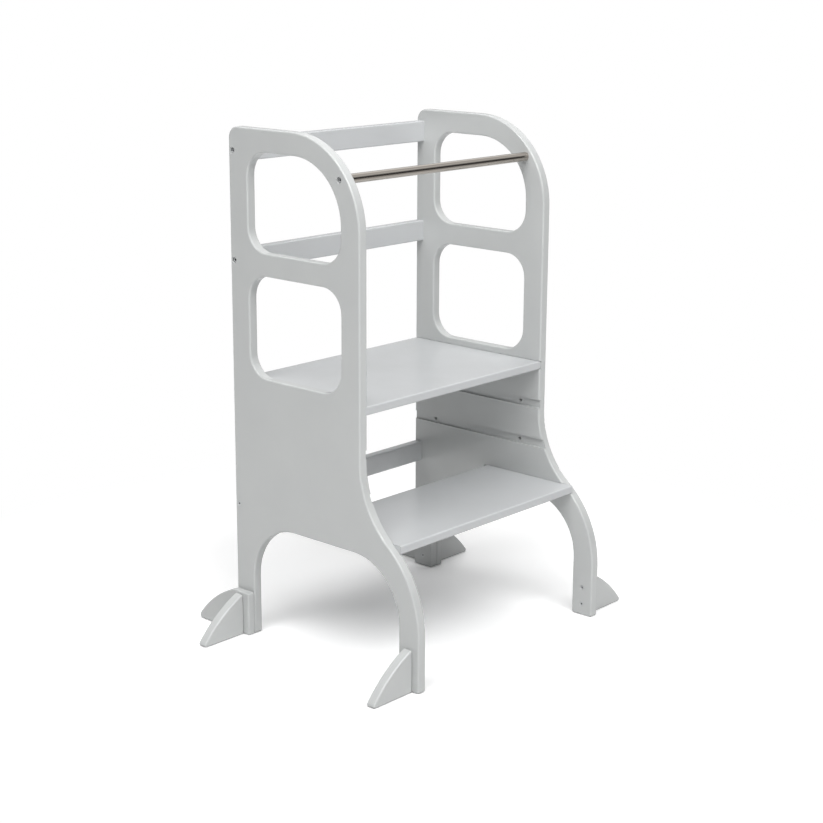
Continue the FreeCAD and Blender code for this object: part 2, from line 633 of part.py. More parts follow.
# ----------------------------------------------------------------------------------------
# Front rail
# ----------------------------------------------------------------------------------------


def make_tube(name, outer, inner, length, both_ways=False):
    """Round tube along X, centred on the body's origin or starting there."""
    body = new_body(name)
    ring = new_sketch(body, "YZ_Plane", "ring")
    circle(ring, "outer", "0", "0", outer)
    circle(ring, "inner", "0", "0", inner)
    pad(body, ring, "tube", length, both_ways=both_ways)
    return body


# ----------------------------------------------------------------------------------------
# Fins
# ----------------------------------------------------------------------------------------


def arched_back(tip, tip_radius, shoulder, shoulder_radius, radius):
    """Centre and end angles of the arc that touches the tip and shoulder circles from outside."""
    to_tip, to_shoulder = radius - tip_radius, radius - shoulder_radius
    span = tip - shoulder
    foot = (to_shoulder**2 - to_tip**2 + span.Length**2) / (2 * span.Length)
    drop = math.sqrt(to_shoulder**2 - foot**2)
    direction = Vector(span).normalize()
    centre = shoulder + direction * foot + Vector(direction.y, -direction.x, 0) * drop
    tip_angle = math.degrees(math.atan2(tip.y - centre.y, tip.x - centre.x))
    shoulder_angle = math.degrees(math.atan2(shoulder.y - centre.y, shoulder.x - centre.x))
    return centre, tip_angle, shoulder_angle


def draw_side_fin(sketch):
    """Side fin: root upright on the origin, arched back from the top of the root to a blunt tip."""
    corner, tip_r, arched = size("fin_corner_radius"), size("fin_tip_radius"), size("fin_radius")
    long, tall = size("fin_reach"), size("fin_height")
    tip, shoulder = Vector(long - tip_r, tip_r, 0), Vector(corner, tall - corner, 0)
    centre, tip_angle, shoulder_angle = arched_back(tip, tip_r, shoulder, corner, arched)

    shape = Outline(sketch)
    sole = shape.line((corner, 0), (long - tip_r, 0))
    tip_arc = shape.arc((tip.x, tip.y), tip_r, -90, tip_angle)
    back = shape.arc((centre.x, centre.y), arched, tip_angle, shoulder_angle)
    top_corner = shape.arc((shoulder.x, shoulder.y), corner, shoulder_angle, 180)
    root = shape.line((0, tall - corner), (0, corner))
    low_corner = shape.arc((corner, corner), corner, 180, 270)
    shape.close()
    shape.radius(tip_arc, "Sizes.fin_tip_radius")
    shape.radius(back, "Sizes.fin_radius")
    shape.radius(top_corner, "Sizes.fin_corner_radius")
    shape.radius(low_corner, "Sizes.fin_corner_radius")
    shape.on_level_axis(sole)
    shape.on_upright_axis(root)
    shape.right_of_origin(tip_arc, shape.CENTRE, "Sizes.fin_reach - Sizes.fin_tip_radius")
    shape.above_origin(top_corner, shape.CENTRE, "Sizes.fin_height - Sizes.fin_corner_radius")


def draw_heel_fin(sketch):
    """Heel fin: front edge upright on the origin, level along the leg, then arched down to its tip."""
    corner, tip_r, arched = size("fin_corner_radius"), size("heel_tip_radius"), size("heel_radius")
    long, tall = size("leg_width") + size("heel_reach"), size("heel_height")
    flat, blend = size("heel_flat"), size("heel_shoulder_radius")
    tip, shoulder = Vector(long - tip_r, tip_r, 0), Vector(flat, tall - blend, 0)
    centre, tip_angle, shoulder_angle = arched_back(tip, tip_r, shoulder, blend, arched)

    shape = Outline(sketch)
    sole = shape.line((corner, 0), (long - tip_r, 0))
    tip_arc = shape.arc((tip.x, tip.y), tip_r, -90, tip_angle)
    back = shape.arc((centre.x, centre.y), arched, tip_angle, shoulder_angle)
    blend_arc = shape.arc((shoulder.x, shoulder.y), blend, shoulder_angle, 90)
    top = shape.line((flat, tall), (corner, tall))
    top_corner = shape.arc((corner, tall - corner), corner, 90, 180)
    front = shape.line((0, tall - corner), (0, corner))
    low_corner = shape.arc((corner, corner), corner, 180, 270)
    shape.close()
    shape.radius(tip_arc, "Sizes.heel_tip_radius")
    shape.radius(back, "Sizes.heel_radius")
    shape.radius(blend_arc, "Sizes.heel_shoulder_radius")
    shape.radius(top_corner, "Sizes.fin_corner_radius")
    shape.radius(low_corner, "Sizes.fin_corner_radius")
    shape.on_level_axis(sole)
    shape.on_upright_axis(front)
    reach = "Sizes.leg_width + Sizes.heel_reach - Sizes.heel_tip_radius"
    shape.right_of_origin(tip_arc, shape.CENTRE, reach)
    shape.right_of_origin(blend_arc, shape.CENTRE, "Sizes.heel_flat")
    shape.above_origin(top, shape.START, "Sizes.heel_height")


def make_side_fin(label, side, x, y):
    """Side fin, square to the panel, with two screw holes in its root."""
    body = new_body(label)
    outline = new_sketch(body, "XZ_Plane", "outline")
    draw_side_fin(outline)
    pad(body, outline, "board", "Sizes.fin_thickness", both_ways=True)
    round_edges(body, "rounded_edges", "Sizes.edge_radius", across(1))
    holes = new_sketch(body, "YZ_Plane", "screw_sketch")
    for level in ("upper", "lower"):
        circle(holes, level, "0", f"Sizes.{level}_screw_height", SCREW_GRIP_HOLE)
    pocket(body, holes, "screw_holes", "Sizes.screw_grip + Sizes.pin_hole_play", reverse=True)
    place(body, x if side == RIGHT else f"-{x}", y, "0", turned=side == LEFT)
    return body


def make_heel_fin(label, side):
    """Heel fin, flat on the outside of the rear leg and flush with its front edge."""
    body = new_body(label)
    outline = new_sketch(body, "YZ_Plane", "outline")
    draw_heel_fin(outline)
    pad(body, outline, "board", "Sizes.heel_thickness", reverse=side == LEFT)
    round_edges(body, "rounded_edges", "Sizes.edge_radius", across(0))
    holes = new_sketch(body, "YZ_Plane", "screw_sketch")
    for level in ("upper", "lower"):
        circle(holes, level, "-Sizes.leg_width / 2", f"Sizes.{level}_screw_height", SCREW_FREE_HOLE)
    pocket(body, holes, "screw_holes", "Sizes.heel_thickness", reverse=side == RIGHT)
    place(body, OUTER_FACE if side == RIGHT else f"-{OUTER_FACE}", f"{REAR_EDGE} - Sizes.leg_width", "0")
    return body


# ----------------------------------------------------------------------------------------
# Fasteners: one body each, repeated as links
# ----------------------------------------------------------------------------------------


def revolve_profile(body, corners):
    """Turn a closed profile of (along X, radius) corners, given as expressions, about the X axis."""
    sketch = new_sketch(body, "XY_Plane", "profile")
    points = [Vector(number(x), number(radius), 0) for x, radius in corners]
    sides = join_corners(sketch, points)
    for side, (x, radius) in zip(sides, corners):
        bind(sketch, f"x_{side}", "DistanceX", (-1, 1, side, 1), x)
        bind(sketch, f"radius_{side}", "DistanceY", (-1, 1, side, 1), radius)
    turned = body.newObject("PartDesign::Revolution", "turned")
    turned.Profile = sketch
    turned.ReferenceAxis = (sketch, ["H_Axis"])
    turned.Angle = 360
    doc.recompute()
    return turned


def make_bolt():
    """Socket-head screw along -X with its head towards +X and the origin under the head."""
    body = new_body("bolt_pattern_piece")
    reach = "-(Sizes.panel_thickness - Sizes.bolt_recess_depth + Sizes.bolt_reach)"
    shank, head = "Sizes.bolt_diameter / 2", "Sizes.bolt_head_diameter / 2"
    chamfer = "Sizes.bolt_chamfer"
    revolve_profile(
        body,
        (
            (reach, "0"), (reach, f"{shank} - {chamfer}"), (f"{reach} + {chamfer}", shank), ("0", shank),
            ("0", head), (f"Sizes.bolt_head_height - {chamfer}", head),
            ("Sizes.bolt_head_height", f"{head} - {chamfer}"), ("Sizes.bolt_head_height", "0"),
        ),
    )
    socket = new_sketch(body, "YZ_Plane", "socket_sketch", lift="Sizes.bolt_head_height")
    reach_to_corner = size("bolt_socket") / math.sqrt(3)
    turns = [math.radians(60 * corner) for corner in range(6)]
    corners = [Vector(math.cos(turn), math.sin(turn), 0) * reach_to_corner for turn in turns]
    sides = join_corners(socket, corners)
    rim = socket.addGeometry(Part.Circle(Vector(0, 0, 0), Vector(0, 0, 1), reach_to_corner), True)
    for side in sides:
        socket.addConstraint(Sketcher.Constraint("PointOnObject", side, 1, rim))
    for side in sides[1:]:
        socket.addConstraint(Sketcher.Constraint("Equal", sides[0], side))
    socket.addConstraint(Sketcher.Constraint("Coincident", rim, 3, -1, 1))
    socket.addConstraint(Sketcher.Constraint("PointOnObject", sides[0], 1, -1))
    bind(socket, "corners", "Diameter", (rim,), "2 * Sizes.bolt_socket / sqrt(3)")
    pocket(body, socket, "socket", "Sizes.bolt_socket_depth")
    return body


def make_screw(name, length):
    """Countersunk wood screw along +X with the top of its head on the origin."""
    body = new_body(name)
    shank, head = "Sizes.screw_diameter / 2", "Sizes.screw_head_diameter / 2"
    point = f"{length} - Sizes.screw_point"
    revolve_profile(body, (("0", "0"), ("0", head), (SCREW_CONE, shank), (point, shank), (length, "0")))
    star = new_sketch(body, "YZ_Plane", "star_sketch")
    circle(star, "star", "0", "0", "Sizes.screw_socket_diameter")
    pocket(body, star, "star", "Sizes.screw_socket_depth", reverse=True)
    return body


def make_pin(name, panel_depth):
    """Wooden pin along X with its panel end towards +X and the origin where it leaves its board."""
    body = new_body(name)
    radius, chamfer = "Sizes.pin_diameter / 2", "Sizes.pin_chamfer"
    board, panel = "-Sizes.pin_board_depth", panel_depth
    revolve_profile(
        body,
        (
            (board, "0"), (board, f"{radius} - {chamfer}"), (f"{board} + {chamfer}", radius),
            (f"{panel} - {chamfer}", radius), (panel, f"{radius} - {chamfer}"), (panel, "0"),
        ),
    )
    return body


def repeat(label, piece, side, x, places):
    """Sub-part made of equal loose pieces: a link for each (y, z), turned round on the left side."""
    links = []
    for count, (y, z) in enumerate(places, start=1):
        link = doc.addObject("App::Link", f"{label}_{count}")
        link.LinkedObject = piece
        place(link, x if side == RIGHT else f"-{x}", y, z, turned=side == LEFT)
        links.append(link)
    group = doc.addObject("Part::Compound", label)
    group.Label = label
    group.Links = links
    doc.recompute()
    return group


# ----------------------------------------------------------------------------------------
# The whole stool
# ----------------------------------------------------------------------------------------

SIDES = (("left", LEFT), ("right", RIGHT))
RAIL_Y = f"{REAR_EDGE} - {RAIL_AXIS}"
nodes = [make_side_panel(f"{hand}_side_panel", side) for hand, side in SIDES]

platform_pins = ("Sizes.rear_pin_inset", PLATFORM_FRONT_PIN)
step_pins = (STEP_REAR_PIN, STEP_FRONT_PIN)
nodes.append(
    make_shelf("platform", PLATFORM_FRONT, PLATFORM_FRONT, "Sizes.platform_underside", platform_pins)
)
nodes.append(make_shelf("step", STEP_FRONT, "Sizes.step_depth", STEP_UNDERSIDE, step_pins))
nodes.extend(make_slat(slat) for slat in SLAT_HEIGHTS)

rail_bore = "Sizes.rail_diameter - 2 * Sizes.rail_wall"
rail = make_tube("front_rail", "Sizes.rail_diameter", rail_bore, f"2 * {INNER_FACE}", both_ways=True)
place(rail, "0", RAIL_Y, RAIL_HEIGHT)
nodes.append(rail)

heel_face = f"({OUTER_FACE} + Sizes.heel_thickness)"
for hand, side in SIDES:
    nodes.append(make_heel_fin(f"{hand}_heel_fin", side))
    nodes.append(make_side_fin(f"{hand}_front_fin", side, OUTER_FACE, FRONT_LEG_MIDDLE))
    nodes.append(make_side_fin(f"{hand}_rear_fin", side, heel_face, REAR_LEG_MIDDLE))

bolt = make_bolt()
tip_in_board = "Sizes.screw_grip - Sizes.screw_sink"
front_screw = make_screw("front_screw_piece", f"(Sizes.panel_thickness + {tip_in_board})")
rear_screw = make_screw(
    "rear_screw_piece", f"(Sizes.panel_thickness + Sizes.heel_thickness + {tip_in_board})"
)
shelf_pin = make_pin("shelf_pin_piece", "Sizes.pin_panel_depth + Sizes.shelf_end_play")
slat_pin = make_pin("slat_pin_piece", "Sizes.pin_panel_depth")
tapped_bore = "Sizes.bolt_diameter + Sizes.thread_play"
sleeve = make_tube("sleeve_piece", "Sizes.sleeve_diameter", tapped_bore, "Sizes.sleeve_length")
plug = make_tube("plug_piece", f"{rail_bore} - Sizes.thread_play", tapped_bore, "Sizes.plug_length")

sleeve_start = f"({INNER_FACE} - Sizes.sleeve_length)"
plug_start = f"({INNER_FACE} - Sizes.plug_length)"
screw_face = f"({INNER_FACE} + Sizes.screw_sink)"
shelf_middle = "Sizes.shelf_thickness / 2"
shelf_levels = (
    ("platform", platform_pins, f"Sizes.platform_underside + {shelf_middle}"),
    ("step", step_pins, f"{STEP_UNDERSIDE} + {shelf_middle}"),
)
fin_screws = (("front", front_screw, FRONT_LEG_MIDDLE), ("rear", rear_screw, REAR_LEG_MIDDLE))
bolted_slats = [(SLAT_MIDDLE, SLAT_HEIGHTS[slat]) for slat in ("top_slat", "middle_slat")]
slat_pins = [(SLAT_MIDDLE, f"{height} - Sizes.slat_pin_drop") for height in SLAT_HEIGHTS.values()]
rail_end = [(RAIL_Y, RAIL_HEIGHT)]
for hand, side in SIDES:
    nodes.append(repeat(f"{hand}_slat_screws", bolt, side, BOLT_SEAT, bolted_slats))
    nodes.append(repeat(f"{hand}_slat_sleeves", sleeve, side, sleeve_start, bolted_slats))
    nodes.append(repeat(f"{hand}_slat_pins", slat_pin, side, INNER_FACE, slat_pins))
    nodes.append(repeat(f"{hand}_rail_screw", bolt, side, BOLT_SEAT, rail_end))
    nodes.append(repeat(f"{hand}_rail_plug", plug, side, plug_start, rail_end))
    for shelf, pins, height in shelf_levels:
        places = [(f"{REAR_EDGE} - {pin}", height) for pin in pins]
        nodes.append(repeat(f"{hand}_{shelf}_pins", shelf_pin, side, SHELF_END, places))
    for leg, screw, middle in fin_screws:
        places = [(middle, f"Sizes.{level}_screw_height") for level in ("upper", "lower")]
        nodes.append(repeat(f"{hand}_{leg}_fin_screws", screw, side, screw_face, places))
    # this screw enters from outside, so it is turned the other way round from the fin screws
    outer_screw_face = f"-({OUTER_FACE} - Sizes.screw_sink)"
    lower_slat_end = [(SLAT_MIDDLE, SLAT_HEIGHTS["lower_slat"])]
    nodes.append(
        repeat(f"{hand}_lower_slat_screw", front_screw, -side, outer_screw_face, lower_slat_end)
    )

# ----------------------------------------------------------------------------------------
# Checks and export
# ----------------------------------------------------------------------------------------

doc.recompute()
for item in doc.Objects:
    if "Invalid" in item.State or "Error" in item.State:
        raise ValueError(f"{item.Label} failed: {item.State}")
    if item.isDerivedFrom("Sketcher::SketchObject") and not item.FullyConstrained:
        raise ValueError(f"sketch {item.Label} is not fully constrained")
for node in nodes:
    if node.Shape.isNull() or not node.Shape.isValid() or not node.Shape.Solids:
        raise ValueError(f"{node.Label} has no valid solid")

os.makedirs("parts", exist_ok=True)
for node in nodes:
    node.Shape.exportStep(f"parts/{node.Label}.step")
    print(f"{node.Label}: {len(node.Shape.Solids)} solid(s), {node.Shape.Volume / 1000:.1f} cm3")
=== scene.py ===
"""Toddler kitchen helper stool: finishes, fasteners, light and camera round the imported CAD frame.

The boards, the rail and the wooden pins are the CAD solids, dressed with procedural finishes. The
screws are made here as surfaces, because their drives and threads are finer than the CAD solids.
Everything is in metres in the frame of the CAD: -Y is the open front, +X the right side, +Z up.
"""

import logging
import math
from dataclasses import dataclass, replace
from enum import Enum
from typing import Any

import bpy
import numpy as np
from mathutils import Matrix, Vector


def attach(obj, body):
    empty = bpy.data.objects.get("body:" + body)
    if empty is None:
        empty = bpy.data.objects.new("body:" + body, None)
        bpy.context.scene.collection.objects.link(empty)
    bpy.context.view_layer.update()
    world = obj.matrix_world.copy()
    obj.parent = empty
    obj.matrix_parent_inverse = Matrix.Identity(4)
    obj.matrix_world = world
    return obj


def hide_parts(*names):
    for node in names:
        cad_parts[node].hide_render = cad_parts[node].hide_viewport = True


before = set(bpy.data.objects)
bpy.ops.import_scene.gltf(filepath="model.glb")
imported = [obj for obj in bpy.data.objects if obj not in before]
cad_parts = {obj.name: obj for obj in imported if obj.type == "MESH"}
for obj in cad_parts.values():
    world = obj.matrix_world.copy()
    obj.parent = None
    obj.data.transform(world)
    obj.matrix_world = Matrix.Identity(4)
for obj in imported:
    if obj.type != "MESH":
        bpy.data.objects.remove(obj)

log = logging.getLogger("helper_stool")

MM = 0.001
BODY = "root"
SIDES = (("left", -1), ("right", 1))

# Numbered sockets of a Mix node that mixes colours
MIX_A, MIX_B, MIX_RESULT = 6, 7, 2


# ------------------------------------------------------------------------------------------
# Colour and node helpers
# ------------------------------------------------------------------------------------------


def linear(hex_colour: str) -> tuple[float, float, float, float]:
    """Turn an sRGB hex colour into a linear RGBA colour, by the curve of the sRGB standard.

    Args:
        hex_colour: six hex digits, such as "c8cccb".

    Returns:
        Linear red, green and blue, and an alpha of 1.
    """
    shares = [int(hex_colour[i : i + 2], 16) / 255 for i in (0, 2, 4)]
    red, green, blue = (s / 12.92 if s <= 0.04045 else ((s + 0.055) / 1.055) ** 2.4 for s in shares)
    return red, green, blue, 1.0


def add_node(
    tree: bpy.types.NodeTree,
    kind: str,
    settings: dict[str, Any] | None = None,
    inputs: dict[str | int, Any] | None = None,
) -> bpy.types.Node:
    """Add one node to a tree, with its settings and the values or links of its sockets.

    Args:
        tree: the node tree of a material or of the world.
        kind: Blender's name for the kind of node.
        settings: attributes of the node.
        inputs: a value, or another node's output socket, for each named or numbered input.

    Returns:
        The new node.
    """
    node = tree.nodes.new(kind)
    for name, value in (settings or {}).items():
        setattr(node, name, value)
    for name, value in (inputs or {}).items():
        if isinstance(value, bpy.types.NodeSocket):
            tree.links.new(value, node.inputs[name])
        else:
            node.inputs[name].default_value = value
    return node


def empty_material(name: str) -> tuple[bpy.types.Material, bpy.types.NodeTree]:
    """Make a material with no nodes in it.

    Args:
        name: the name of the finish.

    Returns:
        The material and its node tree.
    """
    material = bpy.data.materials.new(name)
    material.use_nodes = True
    material.node_tree.nodes.clear()
    return material, material.node_tree


# ------------------------------------------------------------------------------------------
# Finishes
# ------------------------------------------------------------------------------------------


class Grain(Enum):
    """Direction in which the wood under the paint runs, as scales of the pattern along X, Y, Z.

    A scale of 0.06 draws the pattern out to 17 times its width.
    """

    UPRIGHT = (1.0, 1.0, 0.06)
    LEVEL = (0.06, 1.0, 1.0)


@dataclass(frozen=True)
class SatinPaint:
    """Water-based furniture paint, sprayed in two coats on sanded birch plywood.

    The spray leaves a faint orange peel and cloudy patches, and the grain of the board telegraphs
    through as long, barely raised lines, so a highlight on it is soft and a little broken. Real
    peel and grain lines are 1 to 2 mm wide and are drawn two to three times as wide, to show.
    """

    name: str
    grain: Grain
    light_coat: str
    thin_coat: str
    roughness_low: float = 0.18
    roughness_high: float = 0.26
    ior: float = 1.50
    cloud_mm: float = 90.0
    cloud_octaves: float = 3.0
    cloud_raggedness: float = 0.55
    peel_mm: float = 3.0
    peel_octaves: float = 1.0
    peel_height_mm: float = 0.02
    grain_mm: float = 5.0
    grain_octaves: float = 4.0
    grain_height_mm: float = 0.03

    def make(self) -> bpy.types.Material:
        """Build the material.

        Returns:
            Paint whose colour drifts in clouds, with orange peel and grain as bump.
        """
        material, tree = empty_material(self.name)
        place = add_node(tree, "ShaderNodeTexCoord").outputs["Object"]
        clouds = add_node(
            tree, "ShaderNodeTexNoise", {},
            {
                "Vector": place, "Scale": 1 / (self.cloud_mm * MM), "Detail": self.cloud_octaves,
                "Roughness": self.cloud_raggedness,
            },
        )
        coat = add_node(
            tree, "ShaderNodeMix", {"data_type": "RGBA"},
            {
                "Factor": clouds.outputs["Fac"], MIX_A: linear(self.thin_coat),
                MIX_B: linear(self.light_coat),
            },
        )
        sheen = add_node(
            tree, "ShaderNodeMapRange", {},
            {
                "Value": clouds.outputs["Fac"], "To Min": self.roughness_low,
                "To Max": self.roughness_high,
            },
        )
        along = add_node(
            tree, "ShaderNodeMapping", {}, {"Vector": place, "Scale": self.grain.value},
        )
        lines = add_node(
            tree, "ShaderNodeTexNoise", {},
            {
                "Vector": along.outputs["Vector"], "Scale": 1 / (self.grain_mm * MM),
                "Detail": self.grain_octaves,
            },
        )
        peel = add_node(
            tree, "ShaderNodeTexNoise", {},
            {"Vector": place, "Scale": 1 / (self.peel_mm * MM), "Detail": self.peel_octaves},
        )
        raised = add_node(
            tree, "ShaderNodeBump", {},
            {"Height": lines.outputs["Fac"], "Distance": self.grain_height_mm * MM},
        )
        dimpled = add_node(
            tree, "ShaderNodeBump", {},
            {
                "Height": peel.outputs["Fac"], "Distance": self.peel_height_mm * MM,
                "Normal": raised.outputs["Normal"],
            },
        )
        surface = add_node(
            tree, "ShaderNodeBsdfPrincipled", {},
            {
                "Base Color": coat.outputs[MIX_RESULT], "Roughness": sheen.outputs["Result"],
                "IOR": self.ior, "Normal": dimpled.outputs["Normal"],
            },
        )
        add_node(tree, "ShaderNodeOutputMaterial", {}, {"Surface": surface.outputs["BSDF"]})
        return material


@dataclass(frozen=True)
class BrushedStainless:
    """Stainless steel tube, ground along its length with a belt.

    The belt leaves fine lines from end to end, so the tube shows long light and dark streaks and
    its highlight spreads round it. Real lines are about 0.1 mm wide, too fine to show, and are
    drawn 0.9 mm wide.
    """

    name: str = "brushed_stainless_steel"
    light_streak: str = "c7c1b9"
    dark_streak: str = "98918a"
    roughness_low: float = 0.16
    roughness_high: float = 0.28
    streak_mm: float = 2.2
    streak_length_mm: float = 900.0
    streak_octaves: float = 2.0
    all_dark_below: float = 0.35
    all_light_above: float = 0.65
    line_mm: float = 0.9
    line_octaves: float = 2.0
    line_height_mm: float = 0.02
    anisotropy: float = 0.5

    def make(self) -> bpy.types.Material:
        """Build the material.

        Returns:
            Metal with streaks and ground lines along X.
        """
        material, tree = empty_material(self.name)
        place = add_node(tree, "ShaderNodeTexCoord").outputs["Object"]
        drawn_out = add_node(
            tree, "ShaderNodeMapping", {},
            {"Vector": place, "Scale": (self.streak_mm / self.streak_length_mm, 1.0, 1.0)},
        )
        streaks = add_node(
            tree, "ShaderNodeTexNoise", {},
            {
                "Vector": drawn_out.outputs["Vector"], "Scale": 1 / (self.streak_mm * MM),
                "Detail": self.streak_octaves,
            },
        )
        contrast = add_node(
            tree, "ShaderNodeMapRange", {},
            {
                "Value": streaks.outputs["Fac"], "From Min": self.all_dark_below,
                "From Max": self.all_light_above,
            },
        )
        tone = add_node(
            tree, "ShaderNodeMix", {"data_type": "RGBA"},
            {
                "Factor": contrast.outputs["Result"], MIX_A: linear(self.dark_streak),
                MIX_B: linear(self.light_streak),
            },
        )
        polish = add_node(
            tree, "ShaderNodeMapRange", {},
            {
                "Value": streaks.outputs["Fac"], "To Min": self.roughness_high,
                "To Max": self.roughness_low,
            },
        )
        lines = add_node(
            tree, "ShaderNodeTexNoise", {},
            {
                "Vector": drawn_out.outputs["Vector"], "Scale": 1 / (self.line_mm * MM),
                "Detail": self.line_octaves,
            },
        )
        ground = add_node(
            tree, "ShaderNodeBump", {},
            {"Height": lines.outputs["Fac"], "Distance": self.line_height_mm * MM},
        )
        surface = add_node(
            tree, "ShaderNodeBsdfPrincipled", {},
            {
                "Base Color": tone.outputs[MIX_RESULT], "Metallic": 1.0,
                "Roughness": polish.outputs["Result"], "Anisotropic": self.anisotropy,
                "Normal": ground.outputs["Normal"],
            },
        )
        add_node(tree, "ShaderNodeOutputMaterial", {}, {"Surface": surface.outputs["BSDF"]})
        return material


@dataclass(frozen=True)
class ZincPlate:
    """Bright zinc plating on a steel screw, tumbled in a drum.

    The tumbling dulls the plating in small dents, so the head looks light grey and slightly
    mottled. The drive and the grooves between the threads carry painted shade: their colour
    is darkened by how closed in they are.
    """

    name: str = "zinc_plated_steel"
    bright: str = "dcdedf"
    dull: str = "b2b4b6"
    # colour of the painted shade in the drive and between the threads
    painted_recess_shade: str = "2e2e2d"
    roughness_low: float = 0.25
    roughness_high: float = 0.45
    spot_mm: float = 0.8
    spot_octaves: float = 2.0
    dent_mm: float = 0.02
    crevice_mm: float = 2.5
    crevice_samples: int = 8
    full_shade_below: float = 0.35
    no_shade_above: float = 0.9

    def make(self) -> bpy.types.Material:
        """Build the material.

        Returns:
            Metal with dull spots, small dents, and painted shade in the drive and the thread
            grooves.
        """
        material, tree = empty_material(self.name)
        place = add_node(tree, "ShaderNodeTexCoord").outputs["Object"]
        spots = add_node(
            tree, "ShaderNodeTexNoise", {},
            {"Vector": place, "Scale": 1 / (self.spot_mm * MM), "Detail": self.spot_octaves},
        )
        tone = add_node(
            tree, "ShaderNodeMix", {"data_type": "RGBA"},
            {
                "Factor": spots.outputs["Fac"], MIX_A: linear(self.bright),
                MIX_B: linear(self.dull),
            },
        )
        # painted shade: the colour darkens where the drive and the thread grooves close in round a
        # point
        open_air = add_node(
            tree, "ShaderNodeAmbientOcclusion",
            {"only_local": True, "samples": self.crevice_samples},
            {"Distance": self.crevice_mm * MM},
        )
        unshaded = add_node(
            tree, "ShaderNodeMapRange", {},
            {
                "Value": open_air.outputs["AO"], "From Min": self.full_shade_below,
                "From Max": self.no_shade_above,
            },
        )
        plated = add_node(
            tree, "ShaderNodeMix", {"data_type": "RGBA"},
            {
                "Factor": unshaded.outputs["Result"], MIX_A: linear(self.painted_recess_shade),
                MIX_B: tone.outputs[MIX_RESULT],
            },
        )
        polish = add_node(
            tree, "ShaderNodeMapRange", {},
            {
                "Value": spots.outputs["Fac"], "To Min": self.roughness_low,
                "To Max": self.roughness_high,
            },
        )
        dented = add_node(
            tree, "ShaderNodeBump", {},
            {"Height": spots.outputs["Fac"], "Distance": self.dent_mm * MM},
        )
        surface = add_node(
            tree, "ShaderNodeBsdfPrincipled", {},
            {
                "Base Color": plated.outputs[MIX_RESULT], "Metallic": 1.0,
                "Roughness": polish.outputs["Result"], "Normal": dented.outputs["Normal"],
            },
        )
        add_node(tree, "ShaderNodeOutputMaterial", {}, {"Surface": surface.outputs["BSDF"]})
        return material


@dataclass(frozen=True)
class RawBeech:
    """Unfinished beech pin, turned along the grain: pinkish tan with fine brown flecks.

    Real flecks are about 0.3 mm wide and are drawn 0.7 mm wide, to show.
    """

    name: str = "raw_beech"
    sapwood: str = "d3ad80"
    fleck: str = "a97c51"
    fleck_mm: float = 0.7
    fleck_length_mm: float = 6.0
    fleck_octaves: float = 3.0
    roughness_low: float = 0.55
    roughness_high: float = 0.75
    fleck_depth_mm: float = 0.03

    def make(self) -> bpy.types.Material:
        """Build the material.

        Returns:
            Wood with flecks drawn out along X, a little sunk and more matt than the rest.
        """
        material, tree = empty_material(self.name)
        place = add_node(tree, "ShaderNodeTexCoord").outputs["Object"]
        drawn_out = add_node(
            tree, "ShaderNodeMapping", {},
            {"Vector": place, "Scale": (self.fleck_mm / self.fleck_length_mm, 1.0, 1.0)},
        )
        flecks = add_node(
            tree, "ShaderNodeTexNoise", {},
            {
                "Vector": drawn_out.outputs["Vector"], "Scale": 1 / (self.fleck_mm * MM),
                "Detail": self.fleck_octaves,
            },
        )
        tone = add_node(
            tree, "ShaderNodeMix", {"data_type": "RGBA"},
            {
                "Factor": flecks.outputs["Fac"], MIX_A: linear(self.sapwood),
                MIX_B: linear(self.fleck),
            },
        )
        dryness = add_node(
            tree, "ShaderNodeMapRange", {},
            {
                "Value": flecks.outputs["Fac"], "To Min": self.roughness_low,
                "To Max": self.roughness_high,
            },
        )
        sunk = add_node(
            tree, "ShaderNodeBump", {"invert": True},
            {"Height": flecks.outputs["Fac"], "Distance": self.fleck_depth_mm * MM},
        )
        surface = add_node(
            tree, "ShaderNodeBsdfPrincipled", {},
            {
                "Base Color": tone.outputs[MIX_RESULT], "Roughness": dryness.outputs["Result"],
                "Normal": sunk.outputs["Normal"],
            },
        )
        add_node(tree, "ShaderNodeOutputMaterial", {}, {"Surface": surface.outputs["BSDF"]})
        return material


# ------------------------------------------------------------------------------------------
# Screws
# ------------------------------------------------------------------------------------------


STAR_LOBES = 6
STAR_LOBE_SHARE = 0.16
HEXAGON_STEP = math.pi / 3
SHARP_ANGLE = math.radians(35)


class Drive(Enum):
    """Shape of the recess in a screw's head."""

    HEXAGON = "hexagon"
    STAR = "star"

    def outline(self, turn: np.ndarray, radius: float) -> np.ndarray:
        """Radius of the recess wall at each angle.

        A hexagon with half its width across flats as radius has its wall at that radius over the
        cosine of the angle from the middle of the nearest flat. The star's wall is a circle whose
        radius swings with the cosine of six times the angle, which makes six smooth lobes.

        Args:
            turn: angles round the screw in radians.
            radius: half the width across flats, or the mean radius of the star.

        Returns:
            One radius for each angle.
        """
        if self is Drive.HEXAGON:
            from_flat = np.mod(turn, HEXAGON_STEP) - HEXAGON_STEP / 2
            return radius / np.cos(from_flat)
        return radius * (1 + STAR_LOBE_SHARE * np.cos(STAR_LOBES * turn))


